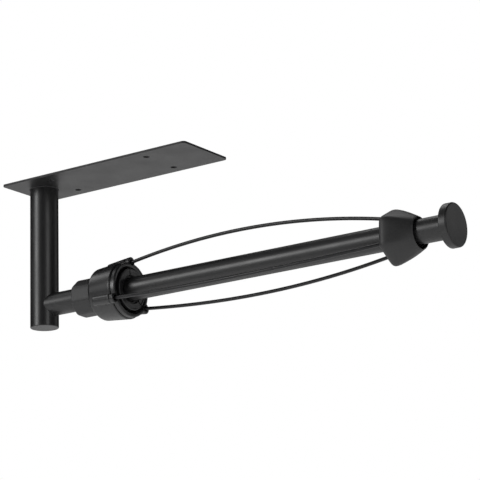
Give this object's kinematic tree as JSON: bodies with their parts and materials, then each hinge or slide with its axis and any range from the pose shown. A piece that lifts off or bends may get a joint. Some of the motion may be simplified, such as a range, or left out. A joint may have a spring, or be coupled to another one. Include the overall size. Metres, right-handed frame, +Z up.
{
  "type": "under-cabinet paper towel holder",
  "caption": "Plate-mounted post carrying a horizontal bar with a turning hub, bowed spring wires, a sliding nose and an end knob, which holds a paper towel roll.",
  "frame": {"origin": "centre of the mounting plate's top face, which bears on the cabinet", "axes": "+X along the bar from the post to the knob, +Z up into the cabinet, +Y across the plate"},
  "size_m": [0.3467, 0.05, 0.1067],
  "materials": {
    "coated_steel": "fine-texture matte black powder coat",
    "black_plastic": "matte moulded",
    "coated_wire": "semi-gloss black coated spring wire",
    "zinc_steel": "zinc plated",
    "acetal": "smooth low-friction",
    "rubber": "matte greased"
  },
  "bodies": {
    "frame": {"mounting_plate": "coated_steel", "post_tube": "coated_steel", "post_end_cap": "coated_steel", "bar_tube": "coated_steel", "knob_disc": "coated_steel", "knob_stud": "zinc_steel", "bar_end_insert": "zinc_steel", "base_sleeve": "black_plastic", "sleeve_set_screw": "zinc_steel", "damper_ring_back": "rubber", "damper_ring_front": "rubber", "thrust_washer": "acetal", "wave_washer": "zinc_steel", "retainer_bush": "black_plastic"},
    "rotor": {"hub_drum": "black_plastic", "hub_bezel": "black_plastic", "spring_wire_a": "coated_wire", "spring_wire_b": "coated_wire", "spring_wire_c": "coated_wire"},
    "nose": {"nose_cone": "black_plastic", "nose_back_plate": "black_plastic", "nose_liner": "acetal"}
  },
  "joints": [
    {"name": "hub_spin", "type": "hinge", "parent": "frame", "child": "rotor", "pos_m": [0, 0, -0.08685], "axis": [1, 0, 0], "continuous": true},
    {"name": "nose_slide", "type": "slide", "parent": "rotor", "child": "nose", "axis": [1, 0, 0], "range_m": [0, 0.0014], "stiffness_N_per_m": 4000, "deforming": ["spring_wire_a", "spring_wire_b", "spring_wire_c"]}
  ]
}
